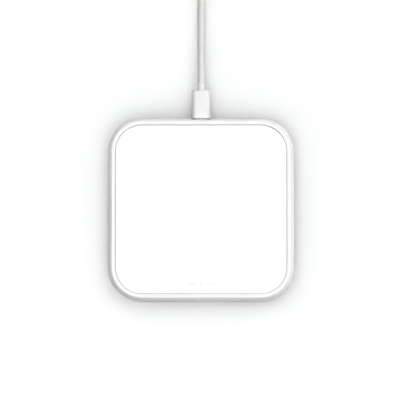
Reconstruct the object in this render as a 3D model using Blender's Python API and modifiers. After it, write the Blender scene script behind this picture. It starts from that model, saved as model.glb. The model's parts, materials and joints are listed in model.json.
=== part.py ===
"""Square wireless charging pad with its USB cable plugged in at the back.

Metres, +Z up. The origin is the middle of the pad's underside, in the plane its foot stands on.
+Y points to the back, where the cable goes in, and -Y to the user. The loose end of the cable is
coiled behind the pad.
"""

import math

import bmesh
import bpy
from mathutils import Vector

MM = 0.001

# Pad casing. "Half" sizes run from the middle to the straight side of a round-cornered square.
PAD_HALF = 50.0 * MM
CORNER_RADIUS = 18.3 * MM
CORNER_STEPS = 12
RIM_TOP = 9.5 * MM
SEAM_HEIGHT = 6.4 * MM
UNDERSIDE_HEIGHT = 0.8 * MM
FLOOR_TOP = 1.9 * MM
GAP = 0.3 * MM
SOLDER_GAP = 0.15 * MM

# Upper frame: a side that is an arc of a circle, a narrow flat rim and a ledge that carries the cover.
FRAME_BOTTOM = SEAM_HEIGHT + GAP
FRAME_ARC_MIDDLE = (43.355 * MM, 4.229 * MM)
FRAME_ARC_RADIUS = 7.09 * MM
RIM_OUTER_HALF = 48.1 * MM
RIM_INNER_HALF = 46.2 * MM
LEDGE_INNER_HALF = 44.2 * MM
LEDGE_TOP = 7.2 * MM
LEDGE_BOTTOM = 6.5 * MM
LIP_OUTER_HALF = 47.9 * MM
LIP_INNER_HALF = 46.6 * MM
LIP_BOTTOM = 5.4 * MM

# Cover, set a little below the rim, and the adhesive frame under its edge.
COVER_HALF = 45.95 * MM
COVER_TOP = 9.15 * MM
COVER_BOTTOM = 7.8 * MM
COVER_EDGE_ROUND = 0.15 * MM
ADHESIVE_OUTER_HALF = 45.8 * MM
ADHESIVE_INNER_HALF = 44.7 * MM
ADHESIVE_BOTTOM = 7.4 * MM
ADHESIVE_TOP = 7.6 * MM

# Lower shell: a tray whose outer and inner sides are quarter ellipses about one edge line.
SHELL_EDGE_HALF = 45.0 * MM
SHELL_OUTER_WIDTH = 4.9 * MM
SHELL_INNER_WIDTH = 3.2 * MM
FOOT_OUTER_HALF = 38.2 * MM
FOOT_INNER_HALF = 34.2 * MM
FOOT_TOP = 1.0 * MM
FOOT_EDGE_ROUND = 0.25 * MM

# Screws: (head radius, head height, shank radius, shank length).
CASE_SCREW = (1.9 * MM, 1.0 * MM, 0.95 * MM, 4.3 * MM)
SMALL_SCREW = (1.5 * MM, 0.9 * MM, 0.75 * MM, 2.6 * MM)
CASE_SCREW_PLACE = 38.6 * MM
CASE_SCREW_SEAT = 2.1 * MM
POST_BOTTOM = 3.7 * MM
SCREW_SIDES = 10

# Coil stack, from the plastic carrier up to the winding.
CARRIER_RADIUS = 27.6 * MM
CARRIER_BOTTOM = 3.6 * MM
CARRIER_TOP = 4.6 * MM
CARRIER_EAR_PLACE = 21.2 * MM
CARRIER_EAR_RADIUS = 4.0 * MM
CENTRE_HOLE_RADIUS = 6.5 * MM
TAPE_BOTTOM = 4.75 * MM
TAPE_TOP = 5.05 * MM
FERRITE_RADIUS = 26.5 * MM
FERRITE_BOTTOM = 5.2 * MM
FERRITE_TOP = 6.0 * MM
COIL_WIRE_RADIUS = 0.55 * MM
COIL_HEIGHT = 6.8 * MM
COIL_INNER_RADIUS = 11.0 * MM
COIL_PITCH = 1.35 * MM
COIL_START = math.radians(75)
COIL_SWEEP = math.radians(3165)
COIL_POINTS_PER_TURN = 17

# Circuit board along the back, notched for the receptacle.
BOARD_BOTTOM = 3.4 * MM
BOARD_TOP = 4.2 * MM
BOARD_HALF_WIDTH = 32.0 * MM
BOARD_FRONT = 29.6 * MM
BOARD_BACK = 46.4 * MM
BOARD_NOTCH_HALF = 4.85 * MM
BOARD_NOTCH_FRONT = 40.9 * MM
BOARD_SCREW_X = 28.5 * MM
BOARD_SCREW_ROWS = (33.0 * MM, 43.0 * MM)

# USB-C port and plug, on one line along +Y. A mouth or a shell is a slot with half-round ends.
PORT_HEIGHT = 4.7 * MM
PORT_CUT_HALF = 4.8 * MM
PLUG_RECESS_SIZE = (10.9 * MM, 8.8 * MM)
PLUG_RECESS_FRONT = 49.0 * MM
RECEPTACLE_SIZE = (8.94 * MM, 3.16 * MM)
RECEPTACLE_MOUTH = (8.34 * MM, 2.56 * MM)
RECEPTACLE_BACK = 41.4 * MM
RECEPTACLE_FRONT = 49.0 * MM
TONGUE_BLADE = (6.69 * MM, 0.70 * MM)
TONGUE_TIP = 47.9 * MM
PLUG_SHELL_SIZE = (8.25 * MM, 2.40 * MM)
PLUG_SHELL_BORE = (7.65 * MM, 1.80 * MM)
PLUG_INSERT_SIZE = (7.35 * MM, 1.50 * MM)
PLUG_SLOT = (6.95 * MM, 1.00 * MM)
PLUG_TIP = 43.65 * MM
PLUG_SHELL_END = 52.0 * MM
HOUSING_FRONT = 49.9 * MM
HOUSING_LENGTH = 15.3 * MM
HOUSING_SIZE = (9.84 * MM, 6.8 * MM)
HOUSING_ROUND = 2.1 * MM
COLLAR_RADIUS = 1.9 * MM
COLLAR_LENGTH = 4.0 * MM

# Cable: its visible run, a round coil four strands wide and two high, and a tail to the USB-A plug.
CABLE_RADIUS = 1.85 * MM
CABLE_START = HOUSING_FRONT + HOUSING_LENGTH + GAP + COLLAR_LENGTH + GAP
CABLE_ON_TABLE = 1.86 * MM
CABLE_POINT_SPACING = 8.0 * MM
BUNDLE_MID_RADIUS = 20.5 * MM
BUNDLE_HALF_WIDTH = 4 * CABLE_RADIUS
BUNDLE_HALF_HEIGHT = 2 * CABLE_RADIUS
OUTER_STRAND = BUNDLE_MID_RADIUS + 3 * CABLE_RADIUS
BUNDLE_CENTRE = Vector((-OUTER_STRAND, 160.0 * MM, 0.0))
BUNDLE_ENTRY = 150.0 * MM
BUNDLE_SIDES = 28
TIE_WIDTH = 8.0 * MM
TIE_THICKNESS = 0.5 * MM
TIE_PLACE = BUNDLE_CENTRE + Vector((-BUNDLE_MID_RADIUS, 0.0, BUNDLE_HALF_HEIGHT + TIE_THICKNESS))
TAIL_START = BUNDLE_CENTRE + Vector((-9.5 * MM, OUTER_STRAND, 3 * CABLE_RADIUS))
USB_A_HEIGHT = 4.0 * MM
USB_A_COLLAR_START = -54.0 * MM
USB_A_COLLAR_LENGTH = 4.0 * MM
USB_A_HOUSING_SIZE = (15.6 * MM, 8.0 * MM)
USB_A_HOUSING_LENGTH = 19.0 * MM
USB_A_SHELL_SIZE = (12.0 * MM, 4.5 * MM)
USB_A_SHELL_LENGTH = 12.0 * MM
USB_A_WALL = 0.3 * MM
USB_A_TONGUE = (11.0 * MM, 1.9 * MM)


# ---------------------------------------------------------------- scene, collections and materials


def clear_scene():
    for obj in list(bpy.data.objects):
        bpy.data.objects.remove(obj, do_unlink=True)


def add_collection(name):
    collection = bpy.data.collections.new(name)
    bpy.context.scene.collection.children.link(collection)
    return collection


clear_scene()
PARTS = add_collection("wireless_charging_pad")
CUTTERS = add_collection("cutters")


def principled(name, colour, roughness, metallic=0.0):
    material = bpy.data.materials.new(name)
    material.use_nodes = True
    shader = material.node_tree.nodes["Principled BSDF"]
    shader.inputs["Base Color"].default_value = (*colour, 1.0)
    shader.inputs["Roughness"].default_value = roughness
    shader.inputs["Metallic"].default_value = metallic
    material.diffuse_color = (*colour, 1.0)
    return material


WHITE_FRAME = principled("white_satin_frame", (0.88, 0.88, 0.87), 0.35)
WHITE_COVER = principled("white_soft_cover", (0.91, 0.91, 0.91), 0.55)
WHITE_SHELL = principled("white_matt_shell", (0.84, 0.84, 0.83), 0.5)
FOOT_RUBBER = principled("grey_foot_rubber", (0.55, 0.55, 0.55), 0.85)
ADHESIVE = principled("clear_adhesive", (0.70, 0.70, 0.66), 0.4)
CARRIER_PLASTIC = principled("black_carrier_plastic", (0.04, 0.04, 0.04), 0.5)
FERRITE = principled("ferrite", (0.07, 0.07, 0.08), 0.6)
COPPER = principled("enamelled_copper", (0.72, 0.34, 0.16), 0.3, 1.0)
BOARD_GREEN = principled("circuit_board", (0.03, 0.16, 0.07), 0.4)
CHIP_BLACK = principled("chip_black", (0.03, 0.03, 0.03), 0.45)
CERAMIC = principled("capacitor_ceramic", (0.45, 0.30, 0.18), 0.5)
STEEL = principled("plated_steel", (0.70, 0.70, 0.70), 0.28, 1.0)
SCREW_STEEL = principled("zinc_screw", (0.55, 0.56, 0.58), 0.35, 1.0)
CONTACT_BLACK = principled("contact_block", (0.04, 0.04, 0.045), 0.4)
PLUG_WHITE = principled("white_plug_plastic", (0.90, 0.90, 0.90), 0.3)
CABLE_WHITE = principled("white_cable_jacket", (0.82, 0.81, 0.79), 0.45)
TIE_GREY = principled("grey_cable_tie", (0.62, 0.62, 0.62), 0.8)


# ---------------------------------------------------------------- object helpers


def add_part(name, mesh, material, place=(0.0, 0.0, 0.0), turn=(0.0, 0.0, 0.0)):
    """A named part from a mesh, smooth on its round faces."""
    obj = bpy.data.objects.new(name, mesh)
    PARTS.objects.link(obj)
    obj.location = place
    obj.rotation_euler = turn
    if not mesh.materials:
        mesh.materials.append(material)
    mesh.shade_smooth()
    mesh.set_sharp_from_angle(angle=math.radians(35))
    return obj


def add_cutter(name, mesh, place=(0.0, 0.0, 0.0), turn=(0.0, 0.0, 0.0)):
    """A hidden helper that a Boolean takes away or adds."""
    obj = bpy.data.objects.new(name, mesh)
    CUTTERS.objects.link(obj)
    obj.location = place
    obj.rotation_euler = turn
    obj.hide_render = True
    obj.display_type = "WIRE"
    return obj


def boolean(obj, operation, other):
    modifier = obj.modifiers.new(f"{operation.lower()}_{other.name}", "BOOLEAN")
    modifier.operation = operation
    modifier.solver = "EXACT"
    modifier.object = other


def mesh_from(name, builder):
    """A mesh that a builder function fills through bmesh."""
    bm = bmesh.new()
    builder(bm)
    bmesh.ops.recalc_face_normals(bm, faces=bm.faces)
    mesh = bpy.data.meshes.new(name)
    bm.to_mesh(mesh)
    bm.free()
    return mesh


def baked(obj):
    """The finished mesh of an object, which is then removed; loose caps are welded."""
    bpy.context.view_layer.update()
    graph = bpy.context.evaluated_depsgraph_get()
    mesh = bpy.data.meshes.new_from_object(obj.evaluated_get(graph))
    bm = bmesh.new()
    bm.from_mesh(mesh)
    bmesh.ops.remove_doubles(bm, verts=bm.verts, dist=1e-6)
    bm.to_mesh(mesh)
    bm.free()
    bpy.data.objects.remove(obj, do_unlink=True)
    return mesh


# ---------------------------------------------------------------- outlines


def round_square(half, radius, steps=CORNER_STEPS):
    """Points of a square with round corners, anticlockwise."""
    return round_rectangle(2 * half, 2 * half, radius, steps)


def round_rectangle(width, height, radius, steps=4):
    points = []
    for corner in range(4):
        turn = math.radians(90 * corner)
        side_x = 1 if corner in (0, 3) else -1
        side_y = 1 if corner in (0, 1) else -1
        middle = (side_x * (width / 2 - radius), side_y * (height / 2 - radius))
        for step in range(steps + 1):
            angle = turn + math.radians(90) * step / steps
            points.append((middle[0] + radius * math.cos(angle), middle[1] + radius * math.sin(angle)))
    return points


def slot_outline(size, steps=5):
    """A slot with half-round ends: a round rectangle whose corners meet."""
    width, height = size
    return round_rectangle(width, height, height / 2 - 1e-6, steps)


def casing_radius(half):
    """Corner radius of an outline parallel to the pad's own."""
    return CORNER_RADIUS - (PAD_HALF - half)


def plate_mesh(name, outlines, bottom, top, edge_round=0.0, edge_steps=1):
    """A flat plate from one outline, or from an outline and its holes, with an optional round edge."""
    curve = bpy.data.curves.new(name, "CURVE")
    curve.dimensions = "2D"
    curve.fill_mode = "BOTH"
    curve.extrude = (top - bottom) / 2 - edge_round
    curve.bevel_depth = edge_round
    curve.bevel_resolution = edge_steps - 1
    curve.offset = -edge_round
    for outline in outlines:
        spline = curve.splines.new("POLY")
        spline.points.add(len(outline) - 1)
        for point, (x, y) in zip(spline.points, outline):
            point.co = (x, y, 0.0, 1.0)
        spline.use_cyclic_u = True
    obj = bpy.data.objects.new(name, curve)
    PARTS.objects.link(obj)
    mesh = baked(obj)
    middle = (top + bottom) / 2
    for vertex in mesh.vertices:
        vertex.co.z += middle
    return mesh


def loft_mesh(name, profile, closed):
    """Skin through round-cornered squares. The profile lists (half, height); closed makes a frame, and
    otherwise the first and last outlines are capped."""

    def build(bm):
        loops = []
        for half, height in profile:
            outline = round_square(half, casing_radius(half))
            loops.append([bm.verts.new((x, y, height)) for x, y in outline])
        pairs = list(zip(loops, loops[1:]))
        if closed:
            pairs.append((loops[-1], loops[0]))
        else:
            bm.faces.new(loops[0])
            bm.faces.new(loops[-1])
        for lower, upper in pairs:
            count = len(lower)
            for i in range(count):
                j = (i + 1) % count
                bm.faces.new((lower[i], lower[j], upper[j], upper[i]))

    return mesh_from(name, build)


def ellipse_arc(edge_half, edge_height, width, depth, start, end, steps):
    """Points of an ellipse arc in the (half, height) plane, with angles in degrees."""
    points = []
    for step in range(steps + 1):
        angle = math.radians(start + (end - start) * step / steps)
        points.append((edge_half + width * math.cos(angle), edge_height + depth * math.sin(angle)))
    return points


def cylinders_mesh(name, places, radius, bottom, top, sides=12):
    """Upright cylinders, one at each (x, y)."""

    def build(bm):
        for x, y in places:
            made = bmesh.ops.create_cone(
                bm, cap_ends=True, segments=sides, radius1=radius, radius2=radius, depth=top - bottom
            )
            bmesh.ops.translate(bm, verts=made["verts"], vec=(x, y, (top + bottom) / 2))

    return mesh_from(name, build)


def box_mesh(name, size):
    def build(bm):
        bmesh.ops.create_cube(bm, size=1.0)
        bmesh.ops.scale(bm, verts=bm.verts, vec=size)

    return mesh_from(name, build)


def add_box(name, size, middle, material, edge=0.0):
    """A box with its middle at a point and, if asked, chamfered edges."""
    obj = add_part(name, box_mesh(name, size), material, middle)
    if edge:
        bevel = obj.modifiers.new("edge", "BEVEL")
        bevel.width = edge
        bevel.segments = 1
    return obj


def add_turned(name, profile, material, place, turn, sides):
    """A part turned about its own Z axis from (radius, height) points, listed from the top down."""
    mesh = bpy.data.meshes.new(name)
    mesh.from_pydata(
        [(radius, 0.0, height) for radius, height in profile],
        [(i, i + 1) for i in range(len(profile) - 1)],
        [],
    )
    obj = add_part(name, mesh, material, place, turn)
    screw = obj.modifiers.new("turn", "SCREW")
    screw.steps = sides
    screw.render_steps = sides
    screw.use_merge_vertices = True
    screw.merge_threshold = 1e-6
    return obj


def smooth_route(route, spacing):
    """Evenly spaced points on a smooth curve through the route's points."""
    ends = [2 * route[0] - route[1], *route, 2 * route[-1] - route[-2]]
    dense = []
    for a, b, c, d in zip(ends, ends[1:], ends[2:], ends[3:]):
        for step in range(20):
            t = step / 20
            square = (2 * a - 5 * b + 4 * c - d) * t**2
            cube = (3 * b - a - 3 * c + d) * t**3
            dense.append(0.5 * (2 * b + (c - a) * t + square + cube))
    dense.append(route[-1])
    lengths = [0.0]
    for first, second in zip(dense, dense[1:]):
        lengths.append(lengths[-1] + (second - first).length)
    count = max(2, round(lengths[-1] / spacing) + 1)
    points = []
    at = 0
    for i in range(count):
        want = lengths[-1] * i / (count - 1)
        while at < len(dense) - 2 and lengths[at + 1] < want:
            at += 1
        share = (want - lengths[at]) / (lengths[at + 1] - lengths[at])
        points.append(dense[at].lerp(dense[at + 1], min(1.0, share)))
    return points


def add_tube(name, points, radius, material):
    """A round wire or cable along points, with closed ends."""
    curve = bpy.data.curves.new(name, "CURVE")
    curve.dimensions = "3D"
    curve.bevel_depth = radius
    curve.bevel_resolution = 2
    curve.use_fill_caps = True
    spline = curve.splines.new("POLY")
    spline.points.add(len(points) - 1)
    for point, place in zip(spline.points, points):
        point.co = (*place, 1.0)
    obj = bpy.data.objects.new(name, curve)
    PARTS.objects.link(obj)
    curve.materials.append(material)
    return obj


def along_y(name, outlines, start, end, height, material, edge_round=0.0):
    """A bar of one section that lies along +Y at a height, from start to end."""
    mesh = plate_mesh(name, outlines, start, end, edge_round, edge_steps=2)
    return add_part(name, mesh, material, (0.0, 0.0, height), (-math.pi / 2, 0.0, 0.0))


# ---------------------------------------------------------------- screws


def cross_recess_mesh(reach, arm, depth):
    """A cross-shaped prism, for the drive of a screw head."""
    corner = [(arm, arm), (arm, reach), (-arm, reach)]
    outline = []
    for quarter in range(4):
        angle = math.radians(90 * quarter)
        for x, y in corner:
            turned = (x * math.cos(angle) - y * math.sin(angle), x * math.sin(angle) + y * math.cos(angle))
            outline.append(turned)

    def build(bm):
        face = bm.faces.new([bm.verts.new((x, y, -depth)) for x, y in outline])
        raised = bmesh.ops.extrude_face_region(bm, geom=[face])["geom"]
        verts = [item for item in raised if isinstance(item, bmesh.types.BMVert)]
        bmesh.ops.translate(bm, verts=verts, vec=(0.0, 0.0, 2 * depth))

    return mesh_from("cross_recess", build)


def screw_mesh(name, size):
    """A pan-head screw with a cross drive. Its origin is under the head, which points up."""
    head_radius, head_height, shank_radius, shank_length = size
    profile = [
        (0.0, head_height),
        (0.75 * head_radius, head_height),
        (head_radius, 0.65 * head_height),
        (head_radius, 0.0),
        (shank_radius, 0.0),
        (shank_radius, -0.9 * shank_length),
        (0.0, -shank_length),
    ]
    obj = add_turned(name, profile, SCREW_STEEL, (0, 0, 0), (0, 0, 0), SCREW_SIDES)
    drive = cross_recess_mesh(0.62 * head_radius, 0.16 * head_radius, 0.55 * head_height)
    recess = add_cutter(f"{name}_drive", drive)
    recess.location.z = head_height
    boolean(obj, "DIFFERENCE", recess)
    mesh = baked(obj)
    return mesh


def add_screws(name, mesh, places, height, turn=(0.0, 0.0, 0.0)):
    for number, (x, y) in enumerate(places, 1):
        add_part(f"{name}_{number}", mesh, SCREW_STEEL, (x, y, height), turn)


# ---------------------------------------------------------------- casing

CASE_SCREW_PLACES = [(x * CASE_SCREW_PLACE, y * CASE_SCREW_PLACE) for x in (-1, 1) for y in (-1, 1)]
BOARD_SCREW_PLACES = [(x * BOARD_SCREW_X, y) for x in (-1, 1) for y in BOARD_SCREW_ROWS]
CARRIER_SCREW_PLACES = [(x * CARRIER_EAR_PLACE, y * CARRIER_EAR_PLACE) for x in (-1, 1) for y in (-1, 1)]


def port_cutter():
    """The notch in the back wall that the receptacle stands in, open at the seam."""
    size = (2 * PORT_CUT_HALF, 8.0 * MM, 3.75 * MM)
    return add_cutter("port_notch", box_mesh("port_notch", size), (0.0, 48.0 * MM, 4.725 * MM))


def recess_cutter():
    """The shallow recess round the port in the casing's side, which the plug housing faces."""
    outline = round_rectangle(*PLUG_RECESS_SIZE, 2.6 * MM, 6)
    mesh = plate_mesh("plug_recess", [outline], PLUG_RECESS_FRONT, PAD_HALF + 1.0 * MM)
    return add_cutter("plug_recess", mesh, (0.0, 0.0, PORT_HEIGHT), (-math.pi / 2, 0.0, 0.0))


def add_frame_ring(port, recess):
    side = ellipse_arc(*FRAME_ARC_MIDDLE, FRAME_ARC_RADIUS, FRAME_ARC_RADIUS, 20.4, 47.5, 6)
    groove_edge = 0.12 * MM
    profile = [
        *side,
        (RIM_OUTER_HALF, RIM_TOP),
        (RIM_INNER_HALF + groove_edge, RIM_TOP),
        (RIM_INNER_HALF, RIM_TOP - groove_edge),
        (RIM_INNER_HALF, LEDGE_TOP),
        (LEDGE_INNER_HALF, LEDGE_TOP),
        (LEDGE_INNER_HALF, LEDGE_BOTTOM),
        (LIP_INNER_HALF, LEDGE_BOTTOM),
        (LIP_INNER_HALF, LIP_BOTTOM),
        (LIP_OUTER_HALF, LIP_BOTTOM),
        (LIP_OUTER_HALF, FRAME_BOTTOM),
    ]
    frame = add_part("frame_ring", loft_mesh("frame_ring", profile, closed=True), WHITE_FRAME)
    posts = cylinders_mesh("screw_posts", CASE_SCREW_PLACES, 3.4 * MM, POST_BOTTOM, LEDGE_TOP - 0.1 * MM)
    boolean(frame, "UNION", add_cutter("screw_posts", posts))
    pilots = cylinders_mesh("post_pilots", CASE_SCREW_PLACES, 1.15 * MM, POST_BOTTOM - GAP, 6.7 * MM, 10)
    boolean(frame, "DIFFERENCE", add_cutter("post_pilots", pilots))
    boolean(frame, "DIFFERENCE", port)
    boolean(frame, "DIFFERENCE", recess)


def add_cover():
    outline = round_square(COVER_HALF, casing_radius(COVER_HALF))
    mesh = plate_mesh("top_cover", [outline], COVER_BOTTOM, COVER_TOP, COVER_EDGE_ROUND)
    add_part("top_cover", mesh, WHITE_COVER)
    outlines = [
        round_square(half, casing_radius(half), 6) for half in (ADHESIVE_OUTER_HALF, ADHESIVE_INNER_HALF)
    ]
    mesh = plate_mesh("cover_adhesive", outlines, ADHESIVE_BOTTOM, ADHESIVE_TOP)
    add_part("cover_adhesive", mesh, ADHESIVE)


def add_bottom_shell(port, recess):
    outer = ellipse_arc(
        SHELL_EDGE_HALF, SEAM_HEIGHT, SHELL_OUTER_WIDTH, SEAM_HEIGHT - UNDERSIDE_HEIGHT, 0, -90, 6
    )
    inner = ellipse_arc(
        SHELL_EDGE_HALF, SEAM_HEIGHT, SHELL_INNER_WIDTH, SEAM_HEIGHT - FLOOR_TOP, -90, 0, 3
    )
    recess_top = FOOT_TOP + GAP
    profile = [
        *inner,
        *outer,
        (FOOT_OUTER_HALF + GAP, UNDERSIDE_HEIGHT),
        (FOOT_OUTER_HALF + GAP, recess_top),
        (FOOT_INNER_HALF - GAP, recess_top),
        (FOOT_INNER_HALF - GAP, UNDERSIDE_HEIGHT),
    ]
    shell = add_part("bottom_shell", loft_mesh("bottom_shell", profile, closed=False), WHITE_SHELL)
    in_floor = 1.5 * MM
    for name, places, radius, top in (
        ("case_bosses", CASE_SCREW_PLACES, 3.6 * MM, POST_BOTTOM - GAP),
        ("board_bosses", BOARD_SCREW_PLACES, 2.4 * MM, BOARD_BOTTOM - GAP),
        ("carrier_bosses", CARRIER_SCREW_PLACES, 2.6 * MM, CARRIER_BOTTOM - GAP),
    ):
        boolean(shell, "UNION", add_cutter(name, cylinders_mesh(name, places, radius, in_floor, top)))
    for name, places, radius, bottom, top in (
        ("counterbores", CASE_SCREW_PLACES, 2.3 * MM, 0.0, CASE_SCREW_SEAT),
        ("case_clearance", CASE_SCREW_PLACES, 1.2 * MM, 1.0 * MM, POST_BOTTOM),
        ("board_pilots", BOARD_SCREW_PLACES, 0.9 * MM, 1.6 * MM, BOARD_BOTTOM),
        ("carrier_pilots", CARRIER_SCREW_PLACES, 0.9 * MM, 1.7 * MM, CARRIER_BOTTOM),
    ):
        holes = cylinders_mesh(name, places, radius, bottom, top, 10)
        boolean(shell, "DIFFERENCE", add_cutter(name, holes))
    boolean(shell, "DIFFERENCE", port)
    boolean(shell, "DIFFERENCE", recess)


def add_foot():
    outlines = [round_square(half, casing_radius(half), 6) for half in (FOOT_OUTER_HALF, FOOT_INNER_HALF)]
    mesh = plate_mesh("rubber_foot", outlines, 0.0, FOOT_TOP, FOOT_EDGE_ROUND)
    add_part("rubber_foot", mesh, FOOT_RUBBER)


def add_case_screws():
    head_up = CASE_SCREW_SEAT - 0.2 * MM
    mesh = screw_mesh("case_screw", CASE_SCREW)
    add_screws("case_screw", mesh, CASE_SCREW_PLACES, head_up, (math.pi, 0.0, 0.0))


# ---------------------------------------------------------------- coil stack


def add_coil_carrier():
    disc = cylinders_mesh("coil_carrier", [(0.0, 0.0)], CARRIER_RADIUS, CARRIER_BOTTOM, CARRIER_TOP, 36)
    carrier = add_part("coil_carrier", disc, CARRIER_PLASTIC)
    ears = cylinders_mesh(
        "carrier_ears", CARRIER_SCREW_PLACES, CARRIER_EAR_RADIUS, CARRIER_BOTTOM, CARRIER_TOP
    )
    boolean(carrier, "UNION", add_cutter("carrier_ears", ears))
    low = CARRIER_BOTTOM - GAP
    high = CARRIER_TOP + GAP
    centre = cylinders_mesh("carrier_centre_hole", [(0.0, 0.0)], CENTRE_HOLE_RADIUS, low, high, 16)
    boolean(carrier, "DIFFERENCE", add_cutter("carrier_centre_hole", centre))
    holes = cylinders_mesh("carrier_screw_holes", CARRIER_SCREW_PLACES, 1.1 * MM, low, high, 10)
    boolean(carrier, "DIFFERENCE", add_cutter("carrier_screw_holes", holes))


def ring_plate(name, outer, inner, bottom, top, material, sides=32):
    """A flat washer."""
    profile = [(inner, top), (outer, top), (outer, bottom), (inner, bottom), (inner, top)]
    return add_turned(name, profile, material, (0, 0, 0), (0, 0, 0), sides)


def coil_points():
    """The inner lead up through the centre hole, the spiral, and the outer lead to the board."""
    inner_lead = [
        Vector((-4.0, 33.0, 4.95)),
        Vector((-4.0, 30.6, 4.95)),
        Vector((-4.0, 28.9, 4.5)),
        Vector((-4.0, 28.3, 3.5)),
        Vector((-4.0, 27.4, 2.8)),
        Vector((-3.8, 22.0, 2.72)),
        Vector((-2.6, 9.0, 2.72)),
        Vector((-1.2, 5.0, 3.1)),
        Vector((-0.2, 4.2, 4.6)),
        Vector((0.1, 4.6, 6.0)),
        Vector((0.6, 6.6, 6.78)),
        Vector((1.3, 9.4, 6.8)),
    ]
    points = [p * MM for p in smooth_route(inner_lead, 1.3)[:-1]]
    count = round(COIL_SWEEP / (2 * math.pi) * COIL_POINTS_PER_TURN)
    for i in range(count + 1):
        swept = COIL_SWEEP * i / count
        radius = COIL_INNER_RADIUS + COIL_PITCH * swept / (2 * math.pi)
        angle = COIL_START - swept
        points.append(Vector((radius * math.cos(angle), radius * math.sin(angle), COIL_HEIGHT)))
    outer_lead = [
        points[-1] / MM,
        Vector((-16.6, 18.8, 6.8)),
        Vector((-13.2, 25.4, 6.75)),
        Vector((-11.4, 28.7, 5.9)),
        Vector((-10.6, 30.9, 5.05)),
        Vector((-10.4, 33.6, 4.95)),
    ]
    return points + [p * MM for p in smooth_route(outer_lead, 1.8)[1:]]


def add_coil_stack():
    add_coil_carrier()
    ring_plate("ferrite_tape", 25.5 * MM, 8.0 * MM, TAPE_BOTTOM, TAPE_TOP, ADHESIVE)
    ring_plate("ferrite_disc", FERRITE_RADIUS, CENTRE_HOLE_RADIUS, FERRITE_BOTTOM, FERRITE_TOP, FERRITE)
    add_tube("transmit_coil", coil_points(), COIL_WIRE_RADIUS, COPPER)


def add_thermistor():
    """A glass-like bead in the middle of the coil, with its twin lead to the board."""
    lead = [
        Vector((0.0, -2.9, 6.6)),
        Vector((0.3, -4.4, 5.6)),
        Vector((1.0, -4.9, 4.2)),
        Vector((2.6, -3.9, 2.8)),
        Vector((6.0, 4.0, 2.6)),
        Vector((8.0, 20.0, 2.6)),
        Vector((8.0, 27.2, 2.8)),
        Vector((8.0, 28.5, 4.2)),
        Vector((8.0, 30.2, 4.95)),
        Vector((8.0, 32.4, 4.9)),
    ]
    points = [p * MM for p in smooth_route(lead, 2.4)]
    add_tube("thermistor_lead", points, 0.4 * MM, CHIP_BLACK)
    profile = []
    for step in range(7):
        angle = math.radians(90 - 180 * step / 6)
        profile.append((0.95 * MM * math.cos(angle), 1.4 * MM * math.sin(angle)))
    place = (0.0, -1.1 * MM, 6.6 * MM)
    add_turned("thermistor_bead", profile, CHIP_BLACK, place, (math.pi / 2, 0.0, 0.0), 10)


# ---------------------------------------------------------------- circuit board


def add_board():
    x = BOARD_HALF_WIDTH
    notch = BOARD_NOTCH_HALF
    outline = [
        (-x, BOARD_FRONT),
        (x, BOARD_FRONT),
        (x, BOARD_BACK),
        (notch, BOARD_BACK),
        (notch, BOARD_NOTCH_FRONT),
        (-notch, BOARD_NOTCH_FRONT),
        (-notch, BOARD_BACK),
        (-x, BOARD_BACK),
    ]
    board = add_part(
        "circuit_board", plate_mesh("circuit_board", [outline], BOARD_BOTTOM, BOARD_TOP), BOARD_GREEN
    )
    holes = cylinders_mesh(
        "board_holes", BOARD_SCREW_PLACES, 1.1 * MM, BOARD_BOTTOM - GAP, BOARD_TOP + GAP, 10
    )
    boolean(board, "DIFFERENCE", add_cutter("board_holes", holes))


# Name, size (x, y, z), middle (x, y) in millimetres, material.
BOARD_COMPONENTS = (
    ("controller_chip", (5.0, 5.0, 0.9), (13.5, 39.5), CHIP_BLACK),
    ("buck_regulator", (3.0, 3.0, 1.0), (21.5, 33.6), CHIP_BLACK),
    ("power_inductor", (6.0, 6.0, 2.6), (21.5, 39.6), FERRITE),
    ("bridge_transistor_1", (5.0, 6.0, 1.0), (-21.6, 39.6), CHIP_BLACK),
    ("bridge_transistor_2", (5.0, 6.0, 1.0), (-15.2, 39.6), CHIP_BLACK),
    ("resonant_capacitor_1", (3.2, 2.5, 2.2), (-23.4, 33.6), CERAMIC),
    ("resonant_capacitor_2", (3.2, 2.5, 2.2), (-19.2, 33.6), CERAMIC),
    ("resonant_capacitor_3", (3.2, 2.5, 2.2), (-15.0, 33.6), CERAMIC),
    ("input_capacitor_1", (1.6, 3.2, 1.6), (-7.4, 42.6), CERAMIC),
    ("input_capacitor_2", (1.6, 3.2, 1.6), (7.4, 42.6), CERAMIC),
    ("current_sense_resistor", (3.2, 1.6, 0.6), (-6.6, 38.2), CHIP_BLACK),
    ("crystal_oscillator", (3.2, 2.5, 0.8), (13.6, 33.8), STEEL),
)


def add_components():
    for name, size, (x, y), material in BOARD_COMPONENTS:
        middle = Vector((x * MM, y * MM, BOARD_TOP + SOLDER_GAP + size[2] * MM / 2))
        add_box(name, [side * MM for side in size], middle, material, 0.15 * MM)


# ---------------------------------------------------------------- USB-C port and plug


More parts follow.
